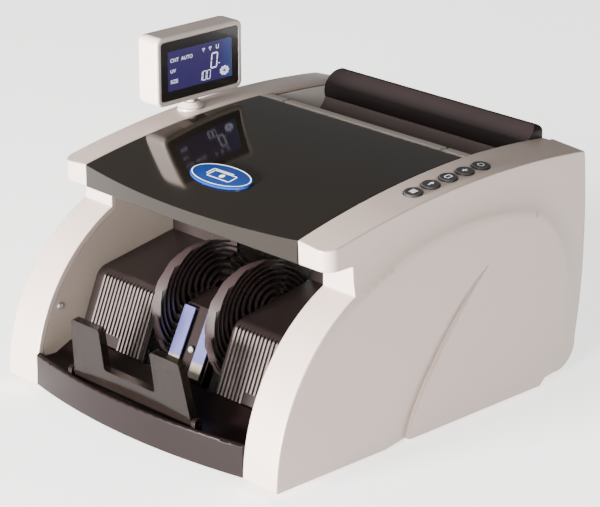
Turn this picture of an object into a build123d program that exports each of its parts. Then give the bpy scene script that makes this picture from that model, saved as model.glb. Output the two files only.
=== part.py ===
from build123d import *
import os
from math import cos, hypot, pi, radians, sin, sqrt, atan2, degrees

# Banknote counting machine: an open-topped hopper at the back feeds notes over rollers
# to two bladed stacker wheels, which drop them in the tray at the front.
# Working frame, in millimetres: X to the machine's right, Y to its back, Z up, with Y = 0 at
# the front foot of the side shells and Z = 0 at their bottom edge. put() moves every piece
# from there to the row's own frame, whose origin is the middle of the footprint at the floor.

# ---- driving dimensions ------------------------------------------------------------------
HALF_WIDTH = 127.3          # to the outer face of each side shell
POCKET_X = 98.0             # half the clear width between the side frames
REAR_X = 92.5               # half the clear width of the hopper, which is narrower
TRAY_FRONT_Y = -10.6        # crown of the bowed tray front
BACK_Y = 277.0              # rearmost point of the shells
FOOT_H = 4.0                # feet below the shells' bottom edge
WALL = 3.0                  # shell wall
RIM_R = 118.0               # front arc of the shells, centred on the floor line
TOP_R = 690.0               # gentle crown of the shells and lid, front to back
TOP_Y = 195.0               # highest point of that crown
TOP_Z = 156.0
TOP_FALL = 0.104            # outward fall of the shell tops, as a slope
WALL_Y = 66.0               # upright face above the front arc
BROW_Z = 124.5              # underside of the brow over the pocket
BROW_Y = 45.2               # front of the brow and of the lid's corners
LID_BOW = 8.5               # how far the lid's front edge bows forward
LID_T = 2.6
LID_GAP = 0.5
HINGE_Y, HINGE_Z, HINGE_R = 191.2, 153.45, 2.5
WHEEL_Y, WHEEL_Z, WHEEL_R = 78.0, 57.0, 43.0
WHEEL_X, WHEEL_W = 25.0, 13.0
BLADES = 16
FEED_Y, FEED_Z, FEED_R = 172.0, 90.0, 18.0
PICK_Y, PICK_Z, PICK_R = 229.5, 106.8, 16.0
CARRY_Y, CARRY_Z, CARRY_R = 134.0, 98.0, 12.0
PINCH_Y, PINCH_Z, PINCH_R = 130.5, 116.2, 6.0
MOTOR_Y, MOTOR_Z, MOTOR_R = 222.0, 40.0, 19.0
SHAFT_R = 3.0
SHAFT_FIT = 0.05            # radial play of every running fit
BEARING_R = 6.0
RIBS = 16
RIB_PITCH = 3.3
RIB_T = 1.4
BUTTON_YS = (130.4, 145.5, 161.1, 175.9, 190.4)
BUTTON_X = 109.6
BUTTON_R = 5.9
MAST_X, MAST_Y = -110.0, 146.0
HEAD_W, HEAD_D, HEAD_Z0, HEAD_Z1 = 75.0, 20.0, 162.0, 209.0
TILT_Z = 167.5
PLATE_Y, PLATE_Z = -1.3, 24.0   # pivot of the stop plate
PLATE_LEAN = 8.0

MID_Y = (TRAY_FRONT_Y + BACK_Y) / 2


def put(shape):
    return Pos(0, -MID_Y, FOOT_H) * shape


def save(node, shape):
    export_step(put(shape), f"parts/{node}.step")


def crown(y):
    """Height of the crowned top surface over the pocket's edge."""
    return TOP_Z - TOP_R + sqrt(TOP_R**2 - (y - TOP_Y) ** 2)


def shell_top(x, y):
    return crown(y) - TOP_FALL * (abs(x) - POCKET_X)


def crown_arc(y0, y1, drop=0.0):
    mid = (y0 + y1) / 2
    return ThreePointArc((y0, crown(y0) - drop), (mid, crown(mid) - drop), (y1, crown(y1) - drop))


def yz_prism(face, x0, x1):
    """Extrudes a sketch drawn with (y, z) from x0 to x1."""
    return extrude(Plane.YZ.offset(x0) * face, x1 - x0)


def yz_polygon(points):
    return make_face(Polyline(*points, close=True))


def x_cylinder(y, z, radius, x0, x1):
    return Pos((x0 + x1) / 2, y, z) * Rot(0, 90, 0) * Cylinder(radius, abs(x1 - x0))


def y_cylinder(x, z, radius, y0, y1):
    return Pos(x, (y0 + y1) / 2, z) * Rot(90, 0, 0) * Cylinder(radius, abs(y1 - y0))


def z_cylinder(x, y, radius, z0, z1):
    return Pos(x, y, (z0 + z1) / 2) * Cylinder(radius, abs(z1 - z0))


def block(x0, x1, y0, y1, z0, z1):
    return Pos((x0 + x1) / 2, (y0 + y1) / 2, (z0 + z1) / 2) * Box(
        abs(x1 - x0), abs(y1 - y0), abs(z1 - z0)
    )


# ---- side shells -------------------------------------------------------------------------
def side_profile(inset=0.0):
    """Side view of a shell: front arc, upright, brow, crowned top, bowed back, flat foot."""
    rim_z = sqrt(RIM_R**2 - (RIM_R - WALL_Y) ** 2)
    lean = radians(45)
    rim_mid = (RIM_R - RIM_R * cos(lean * 0.72), RIM_R * sin(lean * 0.72))
    outline = Curve() + [
        ThreePointArc((0, 0), rim_mid, (WALL_Y, rim_z)),
        Line((WALL_Y, rim_z), (WALL_Y, BROW_Z)),
        Line((WALL_Y, BROW_Z), (BROW_Y + 0.8, BROW_Z)),
        Line((BROW_Y + 0.8, BROW_Z), (BROW_Y, crown(BROW_Y))),
        crown_arc(BROW_Y, 271.5),
        Line((271.5, crown(271.5)), (274.2, 148)),
        ThreePointArc((274.2, 148), (BACK_Y - 0.2, 108), (271.2, 22)),
        ThreePointArc((271.2, 22), (267.2, 9), (256, 3)),
        Line((256, 3), (240, 3)),
        Line((240, 3), (234, 0)),
        Line((234, 0), (0, 0)),
    ]
    face = make_face(outline)
    if inset:
        face = offset(face, amount=-inset)
    return face


def flank_outline(grow=0.0):
    """The raised flank of a shell: the front arc runs into one long arch and a round rear."""
    outline = Curve() + [
        ThreePointArc((1.2, -2), (23, 65.5), (66, 99.7)),
        ThreePointArc((66, 99.7), (150, 123.3), (226, 116.1)),
        ThreePointArc((226, 116.1), (247, 94.8), (256.2, 66)),
        ThreePointArc((256.2, 66), (249.3, 33), (230.8, -2)),
        Line((230.8, -2), (1.2, -2)),
    ]
    face = make_face(outline)
    if grow:
        face = offset(face, amount=grow)
    return face


def flank():
    """The flank stands proud and flares back to the shell in a hollow curve of three facets."""
    steps = ((0.0, HALF_WIDTH), (5.0, 125.2), (13.0, 123.7), (26.0, 122.7))
    body = None
    for (grow0, x0), (grow1, x1) in zip(steps, steps[1:]):
        lower = Plane.YZ.offset(x1) * flank_outline(grow1)
        upper = Plane.YZ.offset(x0) * flank_outline(grow0)
        layer = loft([lower.face(), upper.face()], ruled=True)
        body = layer if body is None else body + layer
    return body


def scoop():
    """Blade-shaped hollow in the flank: shallow from the front, with a crisp wall behind."""
    stations = (
        (86.5, 112.0, -3.0, 3.8),
        (96.5, 121.0, 20.3, 3.8),
        (109.5, 134.0, 41.5, 3.4),
        (126.0, 147.2, 60.0, 2.8),
        (146.5, 162.0, 78.0, 1.9),
        (163.0, 173.5, 89.8, 1.0),
        (181.5, 182.5, 98.0, 0.12),
    )
    proud = HALF_WIDTH + 0.6
    sections = []
    for front_y, rear_y, z, depth in stations:
        corners = ((proud, front_y, z), (HALF_WIDTH - depth, rear_y - 0.8, z), (proud, rear_y, z))
        sections.append(make_face(Polyline(*corners, close=True)))
    return loft(sections)


def crown_band(low, high):
    """Side-view face between two heights measured from the crown."""
    outline = Curve() + [
        crown_arc(-5, 300, -high),
        Line((300, crown(300) + high), (300, crown(300) + low)),
        crown_arc(-5, 300, -low),
        Line((-5, crown(-5) + low), (-5, crown(-5) + high)),
    ]
    return make_face(outline)


def above_the_top():
    """Everything above the crowned top, which slopes down outwards; used as a cutter."""
    inner = Plane.YZ.offset(REAR_X - 2) * crown_band(TOP_FALL * (POCKET_X - REAR_X + 2), 60)
    outer = Plane.YZ.offset(130) * crown_band(-TOP_FALL * (130 - POCKET_X), 60)
    return loft([inner, outer], ruled=True)


def lid_and_hopper_room():
    """Upright cutter in plan for the lid, which narrows towards the hopper."""
    room = [(80, 30), (POCKET_X, 30), (POCKET_X, BROW_Y), (REAR_X, TOP_Y), (REAR_X, 290), (80, 290)]
    return extrude(Pos(0, 0, 100) * make_face(Polyline(*room, close=True)), 80)


def bare_shell():
    """Right-hand shell before its holes."""
    outer = yz_prism(side_profile(), REAR_X - 1, 122.9) - above_the_top()
    brow_corner = outer.edges().filter_by(
        lambda edge: edge.center().X > 122 and edge.center().Y < 47 and edge.center().Z > 126
    )
    outer = fillet(brow_corner, 9)
    outer += yz_prism(side_profile(), POCKET_X, HALF_WIDTH) & flank()
    outer -= scoop()
    outer -= yz_prism(crown_band(-200, -WALL), REAR_X - 2, POCKET_X)
    outer -= block(REAR_X - 2, POCKET_X, 268, 290, 100, 170)
    outer -= lid_and_hopper_room()
    return outer - yz_prism(side_profile(WALL + 1), POCKET_X - 1, 119.6)


def button_frame(y):
    """Location on the right shell's top with its Z along the surface's normal."""
    normal = Vector(TOP_FALL, (y - TOP_Y) / TOP_R, 1).normalized()
    origin = (BUTTON_X, y, shell_top(BUTTON_X, y))
    return Plane(origin=origin, x_dir=(0, 1, 0), z_dir=normal)


def hinge_seat(side):
    return x_cylinder(HINGE_Y, HINGE_Z, 1.5, side * 90, side * 95.1)


def shell_right():
    shell = bare_shell()
    for y in BUTTON_YS:
        shell -= button_frame(y) * Cylinder(BUTTON_R + 0.35, 16)
    return shell - hinge_seat(1)


def shell_left():
    shell = mirror(bare_shell(), about=Plane.YZ)
    top = shell_top(MAST_X, MAST_Y)
    shell += z_cylinder(MAST_X, MAST_Y, 9.0, top - WALL, top + 1.6)
    shell -= z_cylinder(MAST_X, MAST_Y, 5.0 + SHAFT_FIT, top - 12, top + 4)
    return shell - hinge_seat(-1)


# ---- frames, base, tray, back --------------------------------------------------------------
SHAFTS = ((WHEEL_Y, WHEEL_Z), (CARRY_Y, CARRY_Z), (FEED_Y, FEED_Z), (PICK_Y, PICK_Z))
CROSS_BARS = ((126, 42), (196, 62), (248, 74))


def side_frame():
    """Right-hand inner side plate, seated in the open side of its shell."""
    plate = yz_prism(side_profile(WALL + 1.2), POCKET_X, POCKET_X + 2.4)
    for y, z in SHAFTS:
        plate -= x_cylinder(y, z, BEARING_R, POCKET_X - 1, POCKET_X + 4)
    plate -= x_cylinder(PINCH_Y, PINCH_Z, 2.0 + SHAFT_FIT, POCKET_X - 1, POCKET_X + 4)
    plate -= x_cylinder(MOTOR_Y, MOTOR_Z, 9, POCKET_X - 1, POCKET_X + 4)
    return plate


def base_plate():
    plate = block(-POCKET_X + 0.4, POCKET_X - 0.4, 38, 256, 3.2, 5.4)
    for column in range(-2, 3):
        for row in range(5):
            x, y = column * 36, 120 + row * 12
            plate -= block(x - 15, x + 15, y - 2, y + 2, 2, 7)
    return plate


def feet():
    solids = []
    for x in (-84, 84):
        for y in (56, 240):
            foot = Cone(9, 7.6, FOOT_H + 3.2, align=(Align.CENTER, Align.CENTER, Align.MIN))
            solids.append(Pos(x, y, -FOOT_H) * foot)
    return Compound(solids)


def bow(half_width, y_end, bulge, x_shift=0.0):
    return ThreePointArc((-half_width, y_end), (0, y_end - bulge), (half_width, y_end))


def bowed_band(half_width, y_front, y_back, bulge):
    """Plan face with a bowed front and a bowed back."""
    front = bow(half_width, y_front, bulge)
    back = bow(half_width, y_back, bulge)
    left = Line((-half_width, y_front), (-half_width, y_back))
    right = Line((half_width, y_front), (half_width, y_back))
    return make_face(Curve() + [front, right, back, left])


def bowed_plan(half_width, y_front, y_back, bulge):
    """Plan face with a bowed front and a straight back."""
    outline = Curve() + [
        bow(half_width, y_front, bulge),
        Line((half_width, y_front), (half_width, y_back)),
        Line((half_width, y_back), (-half_width, y_back)),
        Line((-half_width, y_back), (-half_width, y_front)),
    ]
    return make_face(outline)


def front_tray():
    """Bowed front wall with a rounded lip, and a floor that rises to the ribbed guides."""
    half = POCKET_X - 0.4
    bulge = -TRAY_FRONT_Y
    body = extrude(Pos(0, 0, 0.6) * bowed_plan(half, 0.0, 33.4, bulge), 27)
    lip_back = extrude(Pos(0, 0, 18.5) * bowed_plan(half + 1, 4.0, 40, bulge), 20)
    trough = yz_prism(
        yz_polygon([(-15, 18.5), (16, 18.5), (36, 27.2), (36, 40), (-15, 40)]), -half - 1, half + 1
    )
    body -= lip_back & trough
    body -= extrude(Pos(0, 0, 22) * Rectangle(2 * half + 4, 80), 20) & block(
        -half - 1, half + 1, -20, 8, 21.9, 45
    )
    lip_edges = body.edges().filter_by(
        lambda edge: abs(edge.center().Z - 22) < 0.2 and edge.length > 120
    )
    body = fillet(lip_edges, 1.8)
    hollow = yz_polygon([(0, -1), (0, 15), (16, 15), (31.5, 22), (31.5, -1)])
    body -= yz_prism(hollow, -half + 2.5, half - 2.5)
    for side in (-1, 1):
        ear = block(side * 56.6, side * 60, PLATE_Y - 3, PLATE_Y + 3, 17, PLATE_Z)
        ear += x_cylinder(PLATE_Y, PLATE_Z, 3, side * 56.6, side * 60)
        body += ear
        body -= x_cylinder(PLATE_Y, PLATE_Z, 1.5 + SHAFT_FIT, side * 56, side * 61)
    return body


def stop_plate():
    """U-shaped plate that stops the notes, on two stub pins; drawn upright, then leaned."""
    z0, z1 = PLATE_Z - 4.2, PLATE_Z + 38.5
    low, high, gap, gap_z = 55.6, 50.6, 24.0, PLATE_Z + 10.5
    outline = [
        (-low, z0), (low, z0), (high, z1), (gap, z1),
        (gap, gap_z), (-gap, gap_z), (-gap, z1), (-high, z1),
    ]
    sheet = make_face(Polyline(*outline, close=True))
    corners = sheet.vertices().filter_by(lambda v: v.Y > z0 + 1)
    sheet = fillet(corners, 2.0)
    inner = offset(sheet, amount=-1.6)
    wall = extrude(Plane.XZ.offset(-PLATE_Y - 3.6) * sheet, 5.4)
    wall -= extrude(Plane.XZ.offset(-PLATE_Y - 5) * inner, 5)
    bottom = block(-70, 70, PLATE_Y + 0.2, PLATE_Y + 6, z0 - 1, z0 + 3)
    plate = wall - bottom
    for side in (-1, 1):
        plate += x_cylinder(PLATE_Y, PLATE_Z, 1.5, side * 53.6, side * 59.4)
        plate += x_cylinder(PLATE_Y, PLATE_Z, 1.8, side * 50, side * 54.8)
    turn = Pos(0, PLATE_Y, PLATE_Z) * Rot(PLATE_LEAN, 0, 0) * Pos(0, -PLATE_Y, -PLATE_Z)
    return turn * plate


def rear_cover():
    """Back wall between the shells, with louvres, a knob cup and the mains cut-outs."""
    band = side_profile() - side_profile(2.6)
    cover = yz_prism(band, -POCKET_X + 0.4, POCKET_X - 0.4)
    cover &= block(-POCKET_X, POCKET_X, 262, 280, 8, 148)
    for row in range(9):
        z = 56 + row * 6
        for x in (-52, 0, 52):
            cover -= block(x - 20, x + 20, 264, 280, z, z + 2.4)
    cover += y_cylinder(0, 128, 13.5, 262, 274.8)
    cover -= y_cylinder(0, 128, 11.5, 264.4, 280)
    cover -= y_cylinder(0, 128, 3 + SHAFT_FIT, 258, 280)
    cover += block(SWITCH_X - 13, INLET_X + 18, 268, PANEL_Y, INLET_Z - 14, INLET_Z + 14)
    cover -= block(SWITCH_X - 13, INLET_X + 18, PANEL_Y, 280, INLET_Z - 14, INLET_Z + 14)
    for x in (-90, 90):
        cover -= y_cylinder(x, 118, 3, 275.2, 280)
        cover -= y_cylinder(x, 30, 3, 270.8, 280)
    cover -= block(INLET_X - 13.8, INLET_X + 13.8, 255, 280, INLET_Z - 10.2, INLET_Z + 10.2)
    cover -= block(SWITCH_X - 9.8, SWITCH_X + 9.8, 255, 280, INLET_Z - 6.8, INLET_Z + 6.8)
    return cover


INLET_X, INLET_Z, SWITCH_X = 62.0, 32.0, 32.0
ROCKER_Y = 268.5
PANEL_Y = 274.0             # flat pad the inlet and the switch are set in


def mains_inlet():
    y1 = PANEL_Y
    body = block(INLET_X - 13.5, INLET_X + 13.5, 248, y1 + 1, INLET_Z - 9.9, INLET_Z + 9.9)
    body += block(INLET_X - 15.5, INLET_X + 15.5, y1, y1 + 1.8, INLET_Z - 12, INLET_Z + 12)
    mouth = Rectangle(24, 16)
    mouth = chamfer(mouth.vertices().group_by(Axis.Y)[0], 4)
    body -= extrude(Pos(INLET_X, y1 + 5, INLET_Z) * Rot(90, 0, 0) * mouth, 20)
    for dx, dz in ((-7, -2), (7, -2), (0, 3)):
        body += block(INLET_X + dx - 1, INLET_X + dx + 1, 254, y1 - 3, INLET_Z + dz - 2, INLET_Z + dz + 2)
    return body


def switch_frame():
    y1 = PANEL_Y
    frame = block(SWITCH_X - 9.5, SWITCH_X + 9.5, 252, y1 + 1, INLET_Z - 6.5, INLET_Z + 6.5)
    frame += block(SWITCH_X - 11, SWITCH_X + 11, y1, y1 + 1.8, INLET_Z - 8, INLET_Z + 8)
    frame -= block(SWITCH_X - 8, SWITCH_X + 8, 258, y1 + 4, INLET_Z - 5.7, INLET_Z + 5.7)
    for side in (-1, 1):
        frame += x_cylinder(ROCKER_Y, INLET_Z, 1.2, SWITCH_X + side * 6.9, SWITCH_X + side * 8.2)
    return frame


def switch_rocker():
    """Shallow V-topped rocker, drawn pressed down at its upper end."""
    outline = Curve() + [
        Line((-4.5, -3), (-4.5, 3)),
        Line((-4.5, 3), (6.6, 4.5)),
        ThreePointArc((6.6, 4.5), (5.9, 0), (6.6, -4.5)),
        Line((6.6, -4.5), (-4.5, -3)),
    ]
    rocker = yz_prism(make_face(outline), SWITCH_X - 7.4, SWITCH_X + 7.4)
    for side in (-1, 1):
        rocker -= x_cylinder(0, 0, 1.2 + SHAFT_FIT, SWITCH_X + side * 6.8, SWITCH_X + side * 8)
    return Pos(0, ROCKER_Y, INLET_Z) * Rot(7, 0, 0) * rocker


def gap_knob():
    """Fluted knob on a stud, set in its cup at the back; it sets the feed gap."""
    disc = Circle(9.6)
    for turn in range(16):
        a = 2 * pi * turn / 16
        disc -= Pos(10.1 * cos(a), 10.1 * sin(a)) * Circle(1.1)
    knob = extrude(Pos(0, 274.6, 128) * Rot(90, 0, 0) * disc, 9)
    knob -= block(-7, 7, 273.4, 276, 127.2, 128.8)
    return knob + y_cylinder(0, 128, 3, 252, 268)


# ---- lid and badge -------------------------------------------------------------------------
def lid_plan():
    front, rear = POCKET_X - LID_GAP, REAR_X - LID_GAP
    outline = Curve() + [
        bow(front, BROW_Y - 0.2, LID_BOW),
        Line((front, BROW_Y - 0.2), (rear, HINGE_Y)),
        Line((rear, HINGE_Y), (-rear, HINGE_Y)),
        Line((-rear, HINGE_Y), (-front, BROW_Y - 0.2)),
    ]
    return make_face(outline)


def under_crown(drop):
    outline = Curve() + [
        crown_arc(20, 260, drop),
        Line((260, crown(260) - drop), (260, 90)),
        Line((260, 90), (20, 90)),
        Line((20, 90), (20, crown(20) - drop)),
    ]
    return yz_prism(make_face(outline), -110, 110)


def lid():
    """Crowned panel with a bowed front skirt, stiffening ribs and a rolled rear edge."""
    slab = extrude(Pos(0, 0, 100) * lid_plan(), 80) & under_crown(0)
    skirt = extrude(
        Pos(0, 0, 100) * bowed_band(POCKET_X - LID_GAP, BROW_Y - 0.2, BROW_Y + 3.4, LID_BOW), 80
    ) & under_crown(0)
    panel = slab - under_crown(LID_T)
    arch = Curve() + [
        ThreePointArc((-110, BROW_Z - 0.8), (0, BROW_Z + 4.5), (110, BROW_Z - 0.8)),
        Line((110, BROW_Z - 0.8), (110, 90)),
        Line((110, 90), (-110, 90)),
        Line((-110, 90), (-110, BROW_Z - 0.8)),
    ]
    skirt -= extrude(Plane.XZ * make_face(arch), 200, both=True)
    panel += skirt
    for x in (-64, 64):
        rib = block(x - 1, x + 1, 46, 186, 140, 156) & under_crown(1)
        panel += rib - under_crown(9)
    bead = x_cylinder(HINGE_Y, HINGE_Z, HINGE_R, -REAR_X + LID_GAP, REAR_X - LID_GAP)
    panel += bead
    for side in (-1, 1):
        panel -= x_cylinder(HINGE_Y, HINGE_Z, 1.5 + SHAFT_FIT, side * 82, side * 95)
    return panel


def lid_hinge_pins():
    return Compound([x_cylinder(HINGE_Y, HINGE_Z, 1.5, side * 82.5, side * 95) for side in (-1, 1)])


BADGE_X, BADGE_Y, BADGE_A, BADGE_B = -4.5, 77.6, 25.9, 12.7


def badge():
    """Oval nameplate, left blank, lying on the lid."""
    slope = degrees(atan2(TOP_Y - BADGE_Y, TOP_R))
    plate = extrude(Ellipse(BADGE_A, BADGE_B), 1.3)
    plate = chamfer(plate.edges().group_by(Axis.Z)[-1], 0.5)
    return Pos(BADGE_X, BADGE_Y, crown(BADGE_Y) + 0.08) * Rot(slope, 0, 0) * plate


# ---- hopper --------------------------------------------------------------------------------
def bed_z(y):
    return 110 + (y - 205) * 0.577


def hopper_bed():
    """Sloping bed with roller slots; its back end sweeps up in a hollow curve to the bar."""
    outline = Curve() + [
        Line((188, 104.5), (205, bed_z(205))),
        Line((205, bed_z(205)), (246, bed_z(246))),
        ThreePointArc((246, bed_z(246)), (250.6, 138.0), (253.0, 142.4)),
        Line((253.0, 142.4), (262.0, 142.4)),
        Line((262.0, 142.4), (262.0, 138.6)),
        Line((262.0, 138.6), (205, bed_z(205) - 2.8)),
        Line((205, bed_z(205) - 2.8), (188, 101.7)),
        Line((188, 101.7), (188, 104.5)),
    ]
    bed = yz_prism(make_face(outline), -REAR_X + 0.3, REAR_X - 0.3)
    for side in (-1, 1):
        bed -= block(side * 18, side * 40, 212, 244, 90, 160)
    for x in (-82, -60, 0, 60, 82):
        crest = [(206, 108), (246, 131), (246, bed_z(246) + 0.7), (206, bed_z(206) + 0.7)]
        bed += yz_prism(yz_polygon(crest), x - 1, x + 1)
    return bed


def hopper_cheek():
    """Right-hand side wall of the hopper, under the shell's top strip."""
    outline = Curve() + [
        Line((184, 101), (184, crown(184) - 3.6)),
        crown_arc(184, 264, 3.6),
        Line((264, crown(264) - 3.6), (264, 139)),
        Line((264, 139), (208, 101)),
        Line((208, 101), (184, 101)),
    ]
    cheek = yz_prism(make_face(outline), REAR_X, REAR_X + 2.5)
    cheek -= x_cylinder(HINGE_Y, HINGE_Z, 1.5, REAR_X - 2, REAR_X + 4)
    return cheek


def hopper_bar():
    """Raised rear rest of the hopper: a rounded nose over a hollow, along the whole back."""
    outline = Curve() + [
        Line((268.2, 142.6), (253.2, 142.6)),
        ThreePointArc((253.2, 142.6), (252.6, 147.8), (254.2, 152.6)),
        ThreePointArc((254.2, 152.6), (257.6, 156.4), (262.2, 160.2)),
        ThreePointArc((262.2, 160.2), (266.6, 160.6), (268.2, 157.0)),
        Line((268.2, 157.0), (268.2, 142.6)),
    ]
    bar = yz_prism(make_face(outline), -REAR_X + 0.3, REAR_X - 0.3)
    front_view = Pos(0, 120) * Rectangle(2 * REAR_X - 0.6, 82)
    front_view = fillet(front_view.vertices().group_by(Axis.Y)[-1], 5)
    return bar & extrude(Plane.XZ.offset(-290) * front_view, 60)


def feed_gate():
    """Cross-piece behind the lid: a flat strip on top and the hopper's front wall below."""
    strip = block(-REAR_X + 0.4, REAR_X - 0.4, 194.4, 201, 151.2, 155.9)
    strip -= block(71, 73.5, 190, 205, 154.6, 160)
    strip -= block(-73.5, -71, 190, 205, 154.6, 160)
    wall = block(-REAR_X + 0.4, REAR_X - 0.4, 196.4, 199, 120, 152)
    foot = yz_polygon([(196.4, 120), (199, 120), (199, 124), (194, 119.4), (195, 118)])
    return strip + wall + yz_prism(foot, -REAR_X + 0.4, REAR_X - 0.4)


def separator_block():
    """Rubber-faced block over the feed roller, on its bracket."""
    pad = block(-14, 14, 166, 184, FEED_Z + FEED_R + 0.6, 121)
    bracket = block(-22, 22, 162, 195, 121, 124)
    return pad + bracket


# ---- stacker pocket ------------------------------------------------------------------------
FACE_FOOT, FACE_HEAD, SHELF_END = (33.6, 21.0), (52.6, 67.5), (117.0, 78.6)


def guide_face():
    """Section of a stacker guide: a leaning face, a rounded head, a shelf and an upstand."""
    outer = yz_polygon([FACE_FOOT, FACE_HEAD, SHELF_END, (117, 93), (140, 93), (140, 21)])
    head = outer.vertices().sort_by(lambda v: hypot(v.X - FACE_HEAD[0], v.Y - FACE_HEAD[1]))[0]
    outer = fillet(head, 10)
    inner = offset(outer, amount=-2.5)
    trim = Pos(130, 55) * Rectangle(21, 100) + Pos(80, 20.9) * Rectangle(130, 6)
    return outer - inner - trim


def rib_face(foot_z):
    """Side view of one rib on the guide's face."""
    (y0, z0), (y1, z1) = FACE_FOOT, FACE_HEAD
    slope = (y1 - y0) / (z1 - z0)
    foot_y = y0 + (foot_z - z0) * slope
    head_z = z1 - 1.5
    head_y = y0 + (head_z - z0) * slope
    points = [
        (foot_y + 1.0, foot_z),
        (foot_y - 1.5, foot_z + 0.8),
        (head_y - 1.7, head_z - 0.6),
        (head_y + 3.5, head_z + 1.4),
        (head_y + 3.5, head_z - 4),
    ]
    return yz_polygon(points)


def guide():
    """Right-hand stacker guide with its row of ribs."""
    body = yz_prism(guide_face(), 34.2, POCKET_X - 1.2)
    for index in range(RIBS):
        x = 37.4 + index * RIB_PITCH
        foot_z = 25.4 if index < 7 else 32.6
        body += yz_prism(rib_face(foot_z), x, x + RIB_T)
    return body


def guide_centre():
    """Narrow pillar between the wheels that carries the leaf strips."""
    outer = yz_polygon([(37.4, 20), (59.6, 65.0), (82, 69.5), (82, 64), (70, 61.6), (64, 60), (46, 20)])
    pillar = yz_prism(outer, -16.6, 16.6)
    pillar -= yz_prism(yz_polygon([(36, 24), (46, 44), (42, 46), (32, 26)]), -3.4, 3.4)
    return pillar


def leaf_strips():
    """Two sprung metal leaves in front of the pillar."""
    run = [(38.6, 26.5), (56.6, 63.0), (58.4, 62.2), (58.9, 63.2), (56.0, 64.5), (37.5, 27.0)]
    leaf = yz_polygon([(y - 0.25, z + 0.1) for y, z in run])
    return Compound([yz_prism(leaf, side * 10.8 - 5, side * 10.8 + 5) for side in (-1, 1)])


def exit_guide():
    """Ribbed cross-plate over the notes' way out to the wheels."""
    plate = block(-POCKET_X + 1.2, POCKET_X - 1.2, 117.4, 120.2, 98.5, 138)
    for index in range(-5, 6):
        plate += block(index * 17 - 1, index * 17 + 1, 114, 118, 99.5, 130)
    return plate


def wheel_blade(root_angle):
    """One trailing finger of a stacker wheel, as a face between two arcs."""
    sweep = radians(140)
    root, tip, mid_r = 10.0, WHEEL_R - 0.3, 30.0

    def at(radius, angle):
        return (radius * cos(angle), radius * sin(angle))

    inner = ThreePointArc(
        at(root, root_angle), at(mid_r - 0.9, root_angle - sweep * 0.40), at(tip - 0.9, root_angle - sweep)
    )
    outer = ThreePointArc(
        at(root + 2.0, root_angle + 0.12),
        at(mid_r + 0.7, root_angle - sweep * 0.38),
        at(tip, root_angle - sweep + 0.012),
    )
    edges = Curve() + [inner, outer, Line(inner @ 1, outer @ 1), Line(inner @ 0, outer @ 0)]
    return make_face(edges)


def wheel(x):
    """Stacker wheel: a hub with long curved fingers, cut from one flat figure."""
    figure = Circle(12.5)
    for index in range(BLADES):
        figure += wheel_blade(2 * pi * index / BLADES)
    figure = (figure & Circle(WHEEL_R)) - Circle(SHAFT_R)
    return yz_prism(Pos(WHEEL_Y, WHEEL_Z) * figure, x - WHEEL_W / 2, x + WHEEL_W / 2)


# ---- shafts, rollers, drive ----------------------------------------------------------------
LEFT_END, RIGHT_END = -116.0, 110.0
TRACK_1, TRACK_2, TRACK_R = (-108.6, -103.6), (-114.8, -109.8), (103.6, 108.6)


def roller_row(y, z, radius, centres, width):
    """Rubber-tyred rollers on one shaft, crowned by small end chamfers."""
    rollers = []
    for x in centres:
        tyre = x_cylinder(y, z, radius, x - width / 2, x + width / 2)
        tyre = chamfer(tyre.edges().filter_by(GeomType.CIRCLE), 0.8)
        rollers.append(tyre - x_cylinder(y, z, SHAFT_R, x - width, x + width))
    return Compound(rollers)


def pulley(y, z, radius, track):
    """Toothed pulley between two flanges."""
    x0, x1 = track
    body = x_cylinder(y, z, radius, x0, x1)
    body += x_cylinder(y, z, radius + 1.6, x0 - 0.5, x0 + 0.1)
    body += x_cylinder(y, z, radius + 1.6, x1 - 0.1, x1 + 0.5)
    return body - x_cylinder(y, z, SHAFT_R, x0 - 2, x1 + 2)


def shaft(y, z, x0, x1):
    return x_cylinder(y, z, SHAFT_R, x0, x1)


def belt(first, second, track):
    """Closed belt loop round two pulleys, each given as (y, z, radius)."""
    x0, x1 = track[0] + 0.4, track[1] - 0.4
    gap, thick = 0.25, 1.1

    def loop(extra):
        (y1, z1, r1), (y2, z2, r2) = first, second
        hull = make_hull(
            [*(Pos(y1, z1) * Circle(r1 + extra)).edges(), *(Pos(y2, z2) * Circle(r2 + extra)).edges()]
        )
        return hull

    return yz_prism(loop(gap + thick) - loop(gap), x0, x1)


PULLEY = {"motor": 7.0, "feed": 14.0, "carry": 10.0, "pick": 14.0, "wheel": 24.0}


def drive_belts():
    motor = (MOTOR_Y, MOTOR_Z, PULLEY["motor"])
    feed = (FEED_Y, FEED_Z, PULLEY["feed"])
    carry = (CARRY_Y, CARRY_Z, PULLEY["carry"])
    pick = (PICK_Y, PICK_Z, PULLEY["pick"])
    slow = (WHEEL_Y, WHEEL_Z, PULLEY["wheel"])
    return Compound(
        [
            belt(motor, feed, TRACK_1),
            belt(feed, carry, TRACK_2),
            belt(feed, pick, TRACK_R),
            belt(carry, slow, TRACK_R),
        ]
    )


def shaft_bearings():
    """Bronze bushes pressed into the side frames."""
    bushes = []
    for y, z in SHAFTS:
        for side in (-1, 1):
            bush = x_cylinder(y, z, BEARING_R - 0.02, side * (POCKET_X - 1.2), side * (POCKET_X + 2.4))
            bush -= x_cylinder(y, z, SHAFT_R + SHAFT_FIT, side * 90, side * 110)
            bushes.append(bush)
    return Compound(bushes)


def motor():
    can = x_cylinder(MOTOR_Y, MOTOR_Z, MOTOR_R, -POCKET_X + 0.1, -40)
    can = chamfer(can.edges().filter_by(GeomType.CIRCLE).sort_by(Axis.X)[-1:], 2)
    can += x_cylinder(MOTOR_Y, MOTOR_Z, 6, -41, -36)
    can += block(-90, -50, MOTOR_Y - 9, MOTOR_Y + 9, 5.4, MOTOR_Z - 12)
    return can - x_cylinder(MOTOR_Y, MOTOR_Z, 8, -99, -94)


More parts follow.
